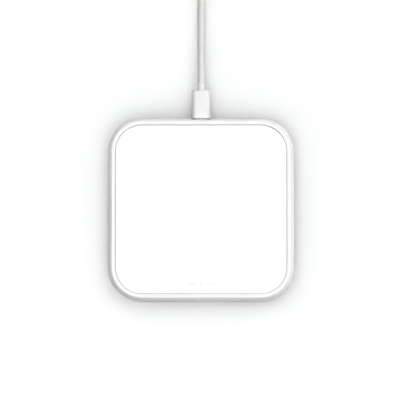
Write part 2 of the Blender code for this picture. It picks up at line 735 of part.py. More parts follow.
def add_receptacle():
    shell = along_y(
        "usb_c_port_shell",
        [slot_outline(RECEPTACLE_SIZE)],
        RECEPTACLE_BACK,
        RECEPTACLE_FRONT,
        PORT_HEIGHT,
        STEEL,
    )
    mouth = plate_mesh(
        "port_mouth", [slot_outline(RECEPTACLE_MOUTH)], RECEPTACLE_BACK + GAP, RECEPTACLE_FRONT + 1.0 * MM
    )
    cutter = add_cutter("port_mouth", mouth, (0.0, 0.0, PORT_HEIGHT), (-math.pi / 2, 0.0, 0.0))
    boolean(shell, "DIFFERENCE", cutter)
    block_back = RECEPTACLE_BACK + 0.45 * MM
    tongue = along_y(
        "usb_c_port_tongue",
        [slot_outline((8.0 * MM, 2.2 * MM))],
        block_back,
        block_back + 1.3 * MM,
        PORT_HEIGHT,
        CONTACT_BLACK,
    )
    blade_back = block_back + 0.5 * MM
    size = (TONGUE_BLADE[0], TONGUE_TIP - blade_back, TONGUE_BLADE[1])
    place = (0.0, (TONGUE_TIP + blade_back) / 2, PORT_HEIGHT)
    boolean(tongue, "UNION", add_cutter("tongue_blade", box_mesh("tongue_blade", size), place))


def add_plug():
    shell_outlines = [slot_outline(PLUG_SHELL_SIZE), slot_outline(PLUG_SHELL_BORE)]
    along_y("usb_c_plug_shell", shell_outlines, PLUG_TIP, PLUG_SHELL_END, PORT_HEIGHT, STEEL)
    insert_start = PLUG_TIP + 0.25 * MM
    insert = along_y(
        "usb_c_plug_insert",
        [slot_outline(PLUG_INSERT_SIZE)],
        insert_start,
        PLUG_SHELL_END - 0.25 * MM,
        PORT_HEIGHT,
        CONTACT_BLACK,
    )
    slot_end = TONGUE_TIP + 0.5 * MM
    size = (PLUG_SLOT[0], slot_end - insert_start + 1.0 * MM, PLUG_SLOT[1])
    place = (0.0, (slot_end + insert_start - 1.0 * MM) / 2, PORT_HEIGHT)
    boolean(insert, "DIFFERENCE", add_cutter("plug_slot", box_mesh("plug_slot", size), place))

    housing = along_y(
        "usb_c_plug_housing",
        [round_rectangle(*HOUSING_SIZE, HOUSING_ROUND, 6)],
        HOUSING_FRONT,
        HOUSING_FRONT + HOUSING_LENGTH,
        PORT_HEIGHT,
        PLUG_WHITE,
        0.4 * MM,
    )
    pocket_size = [side + 2 * GAP for side in PLUG_SHELL_SIZE]
    pocket = plate_mesh(
        "shell_pocket", [slot_outline(pocket_size)], HOUSING_FRONT - 1.0 * MM, PLUG_SHELL_END + GAP
    )
    boolean(
        housing,
        "DIFFERENCE",
        add_cutter("shell_pocket", pocket, (0.0, 0.0, PORT_HEIGHT), (-math.pi / 2, 0.0, 0.0)),
    )
    collar_start = HOUSING_FRONT + HOUSING_LENGTH + GAP
    add_collar("usb_c_plug_collar", (0.0, collar_start, PORT_HEIGHT), (-math.pi / 2, 0.0, 0.0))


def add_collar(name, place, turn):
    """The strain-relief sleeve between a plug housing and the cable, growing along its own +Z."""
    edge = 0.3 * MM
    profile = [
        (0.0, COLLAR_LENGTH),
        (COLLAR_RADIUS - edge, COLLAR_LENGTH),
        (COLLAR_RADIUS, COLLAR_LENGTH - edge),
        (COLLAR_RADIUS, 0.0),
        (0.0, 0.0),
    ]
    add_turned(name, profile, PLUG_WHITE, place, turn, 20)


# ---------------------------------------------------------------- cable, coil and USB-A plug


def add_cable_run():
    """From the collar down to the table, then straight back to the coil."""
    heights = (
        (0.0, PORT_HEIGHT),
        (6.0 * MM, 4.6 * MM),
        (14.0 * MM, 3.6 * MM),
        (22.0 * MM, 2.35 * MM),
        (30.0 * MM, CABLE_ON_TABLE),
        (48.0 * MM, CABLE_ON_TABLE),
    )
    route = [Vector((0.0, CABLE_START + along, height)) for along, height in heights]
    route.append(Vector((0.0, BUNDLE_ENTRY - GAP, CABLE_ON_TABLE)))
    add_tube("cable_run", smooth_route(route, CABLE_POINT_SPACING), CABLE_RADIUS, CABLE_WHITE)


def add_cable_coil():
    """The outer shape of the wound cable, flat where the run enters, with a waist under the tie."""
    inner = BUNDLE_MID_RADIUS - BUNDLE_HALF_WIDTH
    outer = BUNDLE_MID_RADIUS + BUNDLE_HALF_WIDTH
    top = 2 * BUNDLE_HALF_HEIGHT
    edge = 1.6 * MM
    profile = [
        (inner + edge, top),
        (outer - edge, top),
        (outer, top - edge),
        (outer, edge),
        (outer - edge, 0.0),
        (inner + edge, 0.0),
        (inner, edge),
        (inner, top - edge),
        (inner + edge, top),
    ]
    coil = add_turned("cable_coil", profile, CABLE_WHITE, BUNDLE_CENTRE, (0, 0, 0), BUNDLE_SIDES)
    size = (10.0 * MM, 40.0 * MM, 40.0 * MM)
    place = (5.0 * MM - CABLE_RADIUS - GAP, BUNDLE_ENTRY - size[1] / 2, 0.0)
    boolean(coil, "DIFFERENCE", add_cutter("cable_entry", box_mesh("cable_entry", size), place))
    size = (10.0 * MM, 10.0 * MM, 40.0 * MM)
    place = (TAIL_START.x - GAP / 2 - 5.0 * MM, TAIL_START.y, 0.0)
    boolean(coil, "DIFFERENCE", add_cutter("cable_exit", box_mesh("cable_exit", size), place))
    waist = tie_mesh("tie_waist", TIE_WIDTH + 2 * GAP, -GAP, 2.0 * MM)
    boolean(coil, "DIFFERENCE", add_cutter("tie_waist", waist, TIE_PLACE))


def tie_mesh(name, width, slack, outer_slack):
    """A band about the bundle's section, open along Y; the slacks are its distances from it."""
    outlines = []
    for more, corner in ((outer_slack, 1.6 * MM), (slack, 1.2 * MM)):
        size = (2 * (BUNDLE_HALF_WIDTH + more), 2 * (BUNDLE_HALF_HEIGHT + more))
        outlines.append(round_rectangle(*size, corner))
    mesh = plate_mesh(name, outlines, -width / 2, width / 2)
    for vertex in mesh.vertices:
        x, y, z = vertex.co
        vertex.co = (x, -z, y)
    return mesh


def add_cable_tie():
    mesh = tie_mesh("cable_tie", TIE_WIDTH, 0.0, TIE_THICKNESS)
    add_part("cable_tie", mesh, TIE_GREY, TIE_PLACE)


def along_minus_x(name, outlines, start, end, material, edge_round=0.0):
    """A bar of one section, from start to end behind the coil, that points along -X."""
    mesh = plate_mesh(name, outlines, -start, -end, edge_round)
    place = (0.0, TAIL_START.y, USB_A_HEIGHT)
    return add_part(name, mesh, material, place, (-math.pi / 2, 0.0, math.pi / 2))


def add_tail_and_usb_a():
    start = TAIL_START - Vector((GAP, 0.0, 0.0))
    end = Vector((USB_A_COLLAR_START + GAP, TAIL_START.y, USB_A_HEIGHT))
    route = [start, start.lerp(end, 0.3), start.lerp(end, 0.7), end]
    route[1].z = start.z - 0.2 * MM
    route[2].z = end.z + 0.15 * MM
    add_tube("cable_tail", smooth_route(route, 4.0 * MM), CABLE_RADIUS, CABLE_WHITE)
    collar_end = USB_A_COLLAR_START - USB_A_COLLAR_LENGTH
    add_collar(
        "usb_a_plug_collar", (collar_end, TAIL_START.y, USB_A_HEIGHT), (0.0, math.pi / 2, 0.0)
    )
    housing_start = collar_end - GAP
    housing_end = housing_start - USB_A_HOUSING_LENGTH
    housing = along_minus_x(
        "usb_a_plug_housing",
        [round_rectangle(*USB_A_HOUSING_SIZE, 1.9 * MM, 5)],
        housing_start,
        housing_end,
        PLUG_WHITE,
        0.4 * MM,
    )
    pocket_depth = 3.0 * MM
    pocket_size = [side + 2 * GAP for side in USB_A_SHELL_SIZE]
    pocket = plate_mesh(
        "usb_a_pocket",
        [round_rectangle(*pocket_size, 0.8 * MM, 2)],
        -housing_end - pocket_depth,
        -housing_end + 1.0 * MM,
    )
    place = (0.0, TAIL_START.y, USB_A_HEIGHT)
    turn = (-math.pi / 2, 0.0, math.pi / 2)
    boolean(housing, "DIFFERENCE", add_cutter("usb_a_pocket", pocket, place, turn))
    shell_start = housing_end + pocket_depth - GAP
    shell_end = housing_end - USB_A_SHELL_LENGTH
    bore = [side - 2 * USB_A_WALL for side in USB_A_SHELL_SIZE]
    outlines = [round_rectangle(*USB_A_SHELL_SIZE, 0.5 * MM, 2), round_rectangle(*bore, 0.25 * MM, 2)]
    along_minus_x("usb_a_plug_shell", outlines, shell_start, shell_end, STEEL)
    tongue = plate_mesh(
        "usb_a_plug_tongue",
        [round_rectangle(*USB_A_TONGUE, 0.1 * MM, 1)],
        -shell_start + 0.2 * MM,
        -shell_end - 0.6 * MM,
    )
    tongue_height = USB_A_HEIGHT + 0.75 * MM
    add_part("usb_a_plug_tongue", tongue, CONTACT_BLACK, (0.0, TAIL_START.y, tongue_height), turn)


# ---------------------------------------------------------------- assembly

PORT = port_cutter()
RECESS = recess_cutter()
add_frame_ring(PORT, RECESS)
add_cover()
add_bottom_shell(PORT, RECESS)
add_foot()
add_case_screws()
add_coil_stack()
add_thermistor()
add_board()
add_components()
SMALL_SCREW_MESH = screw_mesh("small_screw", SMALL_SCREW)
add_screws("board_screw", SMALL_SCREW_MESH, BOARD_SCREW_PLACES, BOARD_TOP + 0.2 * MM)
add_screws("carrier_screw", SMALL_SCREW_MESH, CARRIER_SCREW_PLACES, CARRIER_TOP + 0.2 * MM)
add_receptacle()
add_plug()
add_cable_run()
add_cable_coil()
add_cable_tie()
add_tail_and_usb_a()
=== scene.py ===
"""Looks of a square wireless charging pad with its USB cable plugged in at the back.

Metres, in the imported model's frame: +Z up, +Y to the back where the cable goes in. The casing
pieces repeat the casing's own outlines with finer curves, and the cable is one cord from the
USB-C plug to the USB-A plug.
"""

import json
import math

import bmesh
import bpy
from mathutils import Matrix, Vector


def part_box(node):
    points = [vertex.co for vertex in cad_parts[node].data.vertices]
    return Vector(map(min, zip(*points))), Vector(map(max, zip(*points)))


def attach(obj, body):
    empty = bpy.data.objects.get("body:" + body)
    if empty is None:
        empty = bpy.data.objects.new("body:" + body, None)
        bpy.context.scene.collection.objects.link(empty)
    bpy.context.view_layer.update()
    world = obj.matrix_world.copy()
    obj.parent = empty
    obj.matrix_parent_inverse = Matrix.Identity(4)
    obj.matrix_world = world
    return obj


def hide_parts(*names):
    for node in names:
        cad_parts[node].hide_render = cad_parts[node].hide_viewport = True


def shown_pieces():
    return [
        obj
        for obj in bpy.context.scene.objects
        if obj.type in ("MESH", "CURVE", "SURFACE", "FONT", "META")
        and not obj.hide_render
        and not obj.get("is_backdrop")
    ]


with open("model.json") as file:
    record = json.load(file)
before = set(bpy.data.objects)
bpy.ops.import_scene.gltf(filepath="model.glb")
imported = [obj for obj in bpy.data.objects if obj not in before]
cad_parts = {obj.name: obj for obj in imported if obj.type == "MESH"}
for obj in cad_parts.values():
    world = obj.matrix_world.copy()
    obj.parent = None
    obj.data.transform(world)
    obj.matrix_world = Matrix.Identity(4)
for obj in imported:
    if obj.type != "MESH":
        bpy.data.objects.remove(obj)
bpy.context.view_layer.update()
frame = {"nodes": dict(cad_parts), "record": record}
MM = 0.001

# Casing: half widths of round-cornered squares, and heights.
PAD_HALF = 50.0 * MM
CORNER_RADIUS = 18.3 * MM
FRAME_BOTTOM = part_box("frame_ring")[0].z
RIM_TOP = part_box("frame_ring")[1].z
SEAM_BOTTOM = 6.7 * MM
LEDGE_TOP = 7.2 * MM
LEDGE_BOTTOM = 6.5 * MM
LIP_BOTTOM = 5.4 * MM
RIM_OUTER_HALF = 48.1 * MM
RIM_INNER_HALF = 46.2 * MM
LEDGE_INNER_HALF = 44.2 * MM
LIP_INNER_HALF = 46.6 * MM
LIP_OUTER_HALF = 47.9 * MM
SIDE_ARC_MIDDLE = (43.355 * MM, 4.229 * MM)
SIDE_ARC_RADIUS = 7.09 * MM
SHELL_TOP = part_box("bottom_shell")[1].z
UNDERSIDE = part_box("bottom_shell")[0].z
FOOT_GROOVE_OUTER_HALF = 38.5 * MM
FOOT_GROOVE_INNER_HALF = 33.9 * MM
FOOT_GROOVE_TOP = 1.3 * MM
FOOT_WIDTH = 4.0 * MM
SCREW_PLACE = 38.6 * MM
FOUR_SCREWS = [(x * SCREW_PLACE, y * SCREW_PLACE) for x in (-1, 1) for y in (-1, 1)]

# USB-C: widths and heights of the opening, the shells and the housing's recess.
PORT_HEIGHT = 4.7 * MM
PORT_OUTSIDE = (8.94 * MM, 3.16 * MM)
PORT_BORE = (8.34 * MM, 2.56 * MM)
PLUG_OUTSIDE = (8.25 * MM, 2.4 * MM)
PLUG_BORE = (7.65 * MM, 1.8 * MM)
PLUG_POCKET = (8.85 * MM, 3.0 * MM)
PLUG_POCKET_END = 52.3 * MM
PLUG_RECESS = (10.9 * MM, 8.8 * MM)
PLUG_RECESS_FRONT = 49.0 * MM
CONTACT_PITCH = 0.5 * MM

# Cable: strands of the coil are one diameter apart, four wide and two high.
CABLE_RADIUS = 1.85 * MM
STRAND = 2 * CABLE_RADIUS
ON_TABLE = 1.86 * MM
COIL_RADIUS = 20.5 * MM
COIL_CENTRE = Vector((-COIL_RADIUS - 1.5 * STRAND, 160.0 * MM, 0.0))
COIL_TURNS = 7.25
COIL_SWAY = 0.07 * MM
TIE_LIFT = 0.5 * MM

# Camera: a long lens, nearly square on to the cover.
CAMERA_AIM = Vector((-0.6 * MM, 5.1 * MM, 9.0 * MM))
CAMERA_AWAY = 8.0
CAMERA_ELEVATION = 80.0
VIEW_HALF_WIDTH = 107.5 * MM
HALF_SENSOR = 18.0

# Light: name, azimuth and elevation in degrees, distance, size across, power in watts.
PAD_LIGHTS = (
    ("overhead_small", 0, 90, 1.2, 0.42, 2.6),
    ("overhead_middle", 0, 90, 1.0, 0.93, 3.4),
    ("overhead_wide", 0, 90, 1.0, 2.0, 3.5),
    ("right_back", 45, 56, 2.4, 1.0, 25.5),
    ("right", 0, 45, 2.4, 1.2, 9.5),
)
TABLE_LIGHTS = (
    ("table_wide", 0, 90, 0.6, 3.7, 74.0),
    ("table_front", 270, 45, 1.2, 0.9, 6.2),
)
WORLD_STRENGTH = 0.02
FLOOR_GREY = 0.45


# ---------------------------------------------------------------- camera


def add_camera():
    """A view of the cover from above, a little to the front."""
    elevation = math.radians(CAMERA_ELEVATION)
    data = bpy.data.cameras.new("camera")
    data.lens = HALF_SENSOR / (VIEW_HALF_WIDTH / CAMERA_AWAY)
    data.clip_end = 100.0
    camera = bpy.data.objects.new("camera", data)
    bpy.context.scene.collection.objects.link(camera)
    back = Vector((0.0, -math.cos(elevation), math.sin(elevation)))
    camera.location = CAMERA_AIM + back * CAMERA_AWAY
    camera.rotation_euler = (-back).to_track_quat("-Z", "Y").to_euler()
    bpy.context.scene.camera = camera


add_camera()


# ---------------------------------------------------------------- materials


def link(tree, start, end):
    tree.links.new(start, end)


def add_node(tree, kind, **values):
    node = tree.nodes.new(kind)
    for name, value in values.items():
        setattr(node, name, value)
    return node


def noise(tree, place, scale, detail=2.0, roughness=0.5, distortion=0.0):
    node = add_node(tree, "ShaderNodeTexNoise")
    node.inputs["Scale"].default_value = scale
    node.inputs["Detail"].default_value = detail
    node.inputs["Roughness"].default_value = roughness
    node.inputs["Distortion"].default_value = distortion
    link(tree, place, node.inputs["Vector"])
    return node.outputs["Fac"]


def spread(tree, value, low, high, start=0.3, end=0.7):
    """A value stretched from start..end to low..high."""
    node = add_node(tree, "ShaderNodeMapRange")
    node.inputs["From Min"].default_value = start
    node.inputs["From Max"].default_value = end
    node.inputs["To Min"].default_value = low
    node.inputs["To Max"].default_value = high
    link(tree, value, node.inputs["Value"])
    return node.outputs["Result"]


def two_tone(tree, value, first, second, start=0.3, end=0.7):
    """A colour between two, by a value."""
    node = add_node(tree, "ShaderNodeValToRGB")
    node.color_ramp.elements[0].position = start
    node.color_ramp.elements[0].color = (*first, 1.0)
    node.color_ramp.elements[1].position = end
    node.color_ramp.elements[1].color = (*second, 1.0)
    link(tree, value, node.inputs["Fac"])
    return node.outputs["Color"]


def bumped(tree, value, depth, below=None):
    node = add_node(tree, "ShaderNodeBump")
    node.inputs["Strength"].default_value = 1.0
    node.inputs["Distance"].default_value = depth
    link(tree, value, node.inputs["Height"])
    if below:
        link(tree, below, node.inputs["Normal"])
    return node.outputs["Normal"]


def new_material(name, metallic=0.0, **sockets):
    """A Principled material, its tree, its shader and its object coordinates."""
    made = bpy.data.materials.new(name)
    made.use_nodes = True
    tree = made.node_tree
    shader = tree.nodes["Principled BSDF"]
    shader.inputs["Metallic"].default_value = metallic
    for socket, value in sockets.items():
        shader.inputs[socket.replace("_", " ")].default_value = value
    place = add_node(tree, "ShaderNodeTexCoord").outputs["Object"]
    return made, tree, shader, place


def moulded(name, colour, roughness, grain, depth, tone=0.02, **sockets):
    """Moulded plastic or rubber: a fine even grain, and broad soft changes of gloss and tone."""
    made, tree, shader, place = new_material(name, **sockets)
    fine = noise(tree, place, 1.0 / grain, 3.0, 0.6)
    broad = noise(tree, place, 38.0, 3.0, 0.55)
    lighter = [min(1.0, c * (1 + tone)) for c in colour]
    darker = [c * (1 - tone) for c in colour]
    link(tree, two_tone(tree, broad, darker, lighter), shader.inputs["Base Color"])
    gloss = add_node(tree, "ShaderNodeMath", operation="ADD")
    link(tree, spread(tree, broad, roughness - 0.04, roughness + 0.04), gloss.inputs[0])
    link(tree, spread(tree, fine, -0.03, 0.03), gloss.inputs[1])
    link(tree, gloss.outputs["Value"], shader.inputs["Roughness"])
    link(tree, bumped(tree, fine, depth), shader.inputs["Normal"])
    return made


def metal(name, colour, roughness, stretch, depth):
    """Plated or brushed metal: streaks along one axis, light scuffs and an uneven colour."""
    made, tree, shader, place = new_material(name, metallic=1.0)
    mapping = add_node(tree, "ShaderNodeMapping")
    mapping.inputs["Scale"].default_value = stretch
    link(tree, place, mapping.inputs["Vector"])
    streaks = noise(tree, mapping.outputs["Vector"], 900.0, 4.0, 0.65)
    scuffs = noise(tree, place, 260.0, 5.0, 0.7, 0.6)
    darker = [c * 0.86 for c in colour]
    link(tree, two_tone(tree, scuffs, darker, colour, 0.35, 0.6), shader.inputs["Base Color"])
    gloss = add_node(tree, "ShaderNodeMath", operation="ADD")
    link(tree, spread(tree, streaks, roughness - 0.05, roughness + 0.07), gloss.inputs[0])
    link(tree, spread(tree, scuffs, -0.03, 0.05), gloss.inputs[1])
    link(tree, gloss.outputs["Value"], shader.inputs["Roughness"])
    link(tree, bumped(tree, streaks, depth), shader.inputs["Normal"])
    return made


WHITE_SATIN = moulded("white_satin", (0.79, 0.79, 0.79), 0.36, 0.16 * MM, 0.0012 * MM)
WHITE_SOFT = moulded(
    "white_soft", (0.93, 0.93, 0.93), 0.6, 0.12 * MM, 0.0015 * MM, 0.01, Sheen_Weight=0.08
)
# The lower casing's grey is set darker than its white plastic: painted shade for the lower part of
# the pad's side, which lies in shade.
WHITE_MATT_AND_PAINTED_SHADE = moulded("white_matt", (0.5, 0.5, 0.495), 0.48, 0.22 * MM, 0.004 * MM)
WHITE_PLUG = moulded("white_plug", (0.72, 0.72, 0.72), 0.3, 0.2 * MM, 0.001 * MM)
JACKET = moulded("cable_jacket", (0.65, 0.64, 0.625), 0.42, 0.3 * MM, 0.003 * MM, 0.03)
FOOT_RUBBER = moulded("foot_rubber", (0.52, 0.52, 0.52), 0.8, 0.15 * MM, 0.01 * MM, 0.05)
BLACK_PLASTIC = moulded("black_plastic", (0.035, 0.035, 0.037), 0.5, 0.1 * MM, 0.003 * MM, 0.12)
FERRITE = moulded("ferrite", (0.075, 0.075, 0.082), 0.62, 0.08 * MM, 0.008 * MM, 0.18)
CERAMIC = moulded("ceramic", (0.46, 0.31, 0.19), 0.42, 0.06 * MM, 0.003 * MM, 0.08)
ADHESIVE = moulded("adhesive", (0.68, 0.67, 0.61), 0.35, 0.5 * MM, 0.006 * MM, 0.06)
PRINT_GREY = moulded("print_grey", (0.79, 0.79, 0.79), 0.5, 0.05 * MM, 0.001 * MM, 0.05)
# The plated steel's grey is set darker than the plating is: partly its own tone, partly painted
# shade that deepens the dark gap between the USB-C plug and the casing.
STEEL_WITH_PAINTED_SHADE = metal("plated_steel", (0.42, 0.42, 0.43), 0.42, (1.0, 0.06, 1.0), 0.0008 * MM)
SCREW_STEEL = metal("screw_steel", (0.56, 0.57, 0.60), 0.34, (1.0, 1.0, 0.2), 0.0015 * MM)
COPPER = metal("copper", (0.72, 0.36, 0.18), 0.28, (1.0, 1.0, 1.0), 0.001 * MM)
GOLD = metal("contact_gold", (0.83, 0.62, 0.26), 0.22, (1.0, 0.1, 1.0), 0.0004 * MM)


def wave(tree, place, pitch, direction):
    node = add_node(tree, "ShaderNodeTexWave", wave_type="BANDS", bands_direction=direction)
    node.inputs["Scale"].default_value = math.pi / (10 * pitch)
    node.inputs["Distortion"].default_value = 1.5
    node.inputs["Detail"].default_value = 2.0
    node.inputs["Detail Scale"].default_value = 3.0
    link(tree, place, node.inputs["Vector"])
    return node.outputs["Fac"]


def woven(name, colour, pitch, depth):
    """A strap of crossed threads with a little fuzz."""
    made, tree, shader, place = new_material(name, Sheen_Weight=0.3)
    cross = add_node(tree, "ShaderNodeMath", operation="MULTIPLY")
    link(tree, wave(tree, place, pitch, "Y"), cross.inputs[0])
    link(tree, wave(tree, place, pitch, "X"), cross.inputs[1])
    fuzz = noise(tree, place, 0.5 / pitch, 4.0, 0.7)
    both = add_node(tree, "ShaderNodeMath", operation="ADD")
    link(tree, cross.outputs["Value"], both.inputs[0])
    link(tree, fuzz, both.inputs[1])
    darker = [c * 0.62 for c in colour]
    threads = two_tone(tree, both.outputs["Value"], darker, colour, 0.35, 1.1)
    link(tree, threads, shader.inputs["Base Color"])
    link(tree, spread(tree, fuzz, 0.75, 0.95), shader.inputs["Roughness"])
    link(tree, bumped(tree, both.outputs["Value"], depth), shader.inputs["Normal"])
    return made


def circuit(name):
    """Green solder mask with paler tracks under it."""
    made, tree, shader, place = new_material(name, Coat_Weight=0.3, Coat_Roughness=0.15)
    tracks = add_node(tree, "ShaderNodeTexBrick", offset=0.35, squash=1.6, squash_frequency=3)
    tracks.inputs["Scale"].default_value = 420.0
    tracks.inputs["Mortar Size"].default_value = 0.06
    tracks.inputs["Mortar Smooth"].default_value = 0.1
    tracks.inputs["Bias"].default_value = -0.3
    tracks.inputs["Color1"].default_value = (0.018, 0.12, 0.05, 1.0)
    tracks.inputs["Color2"].default_value = (0.03, 0.17, 0.075, 1.0)
    tracks.inputs["Mortar"].default_value = (0.07, 0.30, 0.13, 1.0)
    link(tree, place, tracks.inputs["Vector"])
    link(tree, tracks.outputs["Color"], shader.inputs["Base Color"])
    fine = noise(tree, place, 1500.0, 2.0)
    link(tree, spread(tree, fine, 0.3, 0.42), shader.inputs["Roughness"])
    link(tree, bumped(tree, tracks.outputs["Fac"], 0.01 * MM), shader.inputs["Normal"])
    return made


STRAP = woven("tie_strap", (0.60, 0.60, 0.61), 0.45 * MM, 0.05 * MM)
BOARD_GREEN = circuit("board_green")


# ---------------------------------------------------------------- mesh helpers


def add_piece(name, mesh, material, body, nodes=(), sharp=38.0):
    """A finished piece that rides on a body and stands for CAD nodes."""
    obj = bpy.data.objects.new(name, mesh)
    bpy.context.scene.collection.objects.link(obj)
    mesh.materials.clear()
    mesh.materials.append(material)
    mesh.shade_smooth()
    mesh.set_sharp_from_angle(angle=math.radians(sharp))
    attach(obj, body)
    if nodes:
        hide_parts(*nodes)
    return obj


def mesh_from(name, build):
    bm = bmesh.new()
    build(bm)
    bmesh.ops.recalc_face_normals(bm, faces=bm.faces)
    mesh = bpy.data.meshes.new(name)
    bm.to_mesh(mesh)
    bm.free()
    return mesh


def skin(bm, rings, closed=False):
    """Faces between rings of points; open ends are capped."""
    loops = [[bm.verts.new(point) for point in ring] for ring in rings]
    pairs = list(zip(loops, loops[1:]))
    if closed:
        pairs.append((loops[-1], loops[0]))
    else:
        bm.faces.new(loops[0])
        bm.faces.new(loops[-1])
    for lower, upper in pairs:
        for i, corner in enumerate(lower):
            j = (i + 1) % len(lower)
            bm.faces.new((corner, lower[j], upper[j], upper[i]))


def round_rectangle(width, height, radius, steps=12):
    """Points of a rectangle with round corners, anticlockwise."""
    points = []
    for quarter, (side_x, side_y) in enumerate(((1, 1), (-1, 1), (-1, -1), (1, -1))):
        middle = Vector((side_x * (width / 2 - radius), side_y * (height / 2 - radius)))
        for step in range(steps + 1):
            angle = math.radians(90 * (quarter + step / steps))
            points.append(middle + radius * Vector((math.cos(angle), math.sin(angle))))
    return points


def filleted(corners, steps=4):
    """A profile whose corners (x, y, radius) are rounded."""
    points = []
    for i, (here_x, here_y, radius) in enumerate(corners):
        here = Vector((here_x, here_y))
        back = (Vector(corners[i - 1][:2]) - here).normalized()
        on = (Vector(corners[(i + 1) % len(corners)][:2]) - here).normalized()
        half = back.angle(on) / 2
        if radius == 0 or half > math.radians(88):
            points.append(here)
            continue
        reach = radius / math.tan(half)
        middle = here + (back + on).normalized() * radius / math.sin(half)
        start = here + back * reach - middle
        turn = math.pi - 2 * half
        sign = 1 if back.cross(on) < 0 else -1
        for step in range(steps + 1):
            points.append(middle + start @ Matrix.Rotation(-sign * turn * step / steps, 2))
    return points


def casing_ring(half, height, steps=30):
    """An outline parallel to the pad's own, at a height."""
    radius = CORNER_RADIUS - (PAD_HALF - half)
    return [(p.x, p.y, height) for p in round_rectangle(2 * half, 2 * half, radius, steps)]


def ellipse_arc(middle, radii, start, end, steps):
    points = []
    for step in range(steps + 1):
        angle = math.radians(start + (end - start) * step / steps)
        x = middle[0] + radii[0] * math.cos(angle)
        points.append(Vector((x, middle[1] + radii[1] * math.sin(angle))))
    return points


def cut(mesh, operation, others):
    """The mesh after a Boolean with each of the others, in order."""
    work = bpy.data.objects.new("work", mesh)
    bpy.context.scene.collection.objects.link(work)
    helpers = []
    for other in others:
        helper = bpy.data.objects.new("helper", other)
        bpy.context.scene.collection.objects.link(helper)
        modifier = work.modifiers.new("cut", "BOOLEAN")
        modifier.operation = operation
        modifier.solver = "EXACT"
        modifier.object = helper
        helpers.append(helper)
    bpy.context.view_layer.update()
    graph = bpy.context.evaluated_depsgraph_get()
    made = bpy.data.meshes.new_from_object(work.evaluated_get(graph))
    for obj in [work, *helpers]:
        bpy.data.objects.remove(obj)
    return made


def cylinders(places, radius, bottom, top, sides=32):
    shape = {"cap_ends": True, "segments": sides, "depth": top - bottom}

    def build(bm):
        for x, y in places:
            made = bmesh.ops.create_cone(bm, radius1=radius, radius2=radius, **shape)["verts"]
            bmesh.ops.translate(bm, verts=made, vec=(x, y, (top + bottom) / 2))

    return mesh_from("cylinders", build)


def bar(outline, stations, frame_of):
    """Rings of an outline, drawn in at each station (along, inset) and placed by frame_of."""
    width = max(p.x for p in outline)
    height = max(p.y for p in outline)
    rings = []
    for along, inset in stations:
        scale_x = (width - inset) / width
        scale_y = (height - inset) / height
        rings.append([frame_of(p.x * scale_x, p.y * scale_y, along) for p in outline])
    return rings


def end_round(start, end, radius, steps=6):
    """Stations of a bar whose two ends are rounded by a radius."""
    stations = []
    for step in range(steps + 1):
        angle = math.radians(90 * step / steps)
        stations.append((start + radius * (1 - math.cos(angle)), radius * (1 - math.sin(angle))))
    if end < start:
        stations = [(2 * start - along, inset) for along, inset in stations]
    return stations + [(start + end - along, inset) for along, inset in reversed(stations)]


def along_y(height):
    return lambda x, y, along: (x, along, height + y)


def slot_outline(width, height, steps=12):
    return round_rectangle(width, height, height / 2 - 1e-6, steps)


def sleeve(name, outer, bore, start, end, edge, frame_of):
    """A stamped tube with a rounded lip at its far end."""
    stations = [(start, 0.0)]
    sign = 1 if end > start else -1
    for step in range(5):
        angle = math.radians(90 * step / 4)
        stations.append((end - sign * edge * (1 - math.sin(angle)), edge * (1 - math.cos(angle))))
    outside = bar(outer, stations, frame_of)
    inside = bar(bore, [(end, 0.0), (start, 0.0)], frame_of)
    return mesh_from(name, lambda bm: skin(bm, outside + inside, closed=True))


def capped_bar(name, outline, stations, frame_of):
    return mesh_from(name, lambda bm: skin(bm, bar(outline, stations, frame_of)))


def turned(profile, sides, frame_of):
    """A ring of points for each (radius, along)."""
    rings = []
    for radius, along in profile:
        ring = []
        for k in range(sides):
            angle = 2 * math.pi * k / sides
            ring.append(frame_of(radius * math.cos(angle), radius * math.sin(angle), along))
        rings.append(ring)
    return rings


def blocks(name, boxes):
    """Small boxes (low corner, high corner) in one mesh."""

    def build(bm):
        for low, high in boxes:
            size = Vector(high) - Vector(low)
            made = bmesh.ops.create_cube(bm, size=1.0)["verts"]
            bmesh.ops.scale(bm, verts=made, vec=size)
            bmesh.ops.translate(bm, verts=made, vec=Vector(low) + size / 2)

    return mesh_from(name, build)


# ---------------------------------------------------------------- cable


def smooth_route(route, spacing):
    """Evenly spaced points on a smooth curve through the route's points."""
    ends = [2 * route[0] - route[1], *route, 2 * route[-1] - route[-2]]
    dense = []
    for a, b, c, d in zip(ends, ends[1:], ends[2:], ends[3:]):
        for step in range(20):
            t = step / 20
            square = (2 * a - 5 * b + 4 * c - d) * t**2
            cube = (3 * b - a - 3 * c + d) * t**3
            dense.append(0.5 * (2 * b + (c - a) * t + square + cube))
    dense.append(route[-1])
    lengths = [0.0]
    for first, second in zip(dense, dense[1:]):
        lengths.append(lengths[-1] + (second - first).length)
    count = max(2, round(lengths[-1] / spacing) + 1)
    points = []
    at = 0
    for i in range(count):
        want = lengths[-1] * i / (count - 1)
        while at < len(dense) - 2 and lengths[at + 1] < want:
            at += 1
        share = (want - lengths[at]) / (lengths[at + 1] - lengths[at])
        points.append(dense[at].lerp(dense[at + 1], min(1.0, share)))
    return points


def eased(value):
    value = min(1.0, max(0.0, value))
    return value * value * (3 - 2 * value)


# Each turn's column from the middle and its layer, and the angles in which it moves to the next.
WINDING = (
    (1.5, 0, 292, 345),
    (0.5, 0, 292, 345),
    (-0.5, 0, 292, 345),
    (-1.5, 0, 250, 297),
    (-1.5, 1, 205, 255),
    (-0.5, 1, 205, 255),
    (0.5, 1, 205, 255),
    (1.5, 1, 0, 0),
)


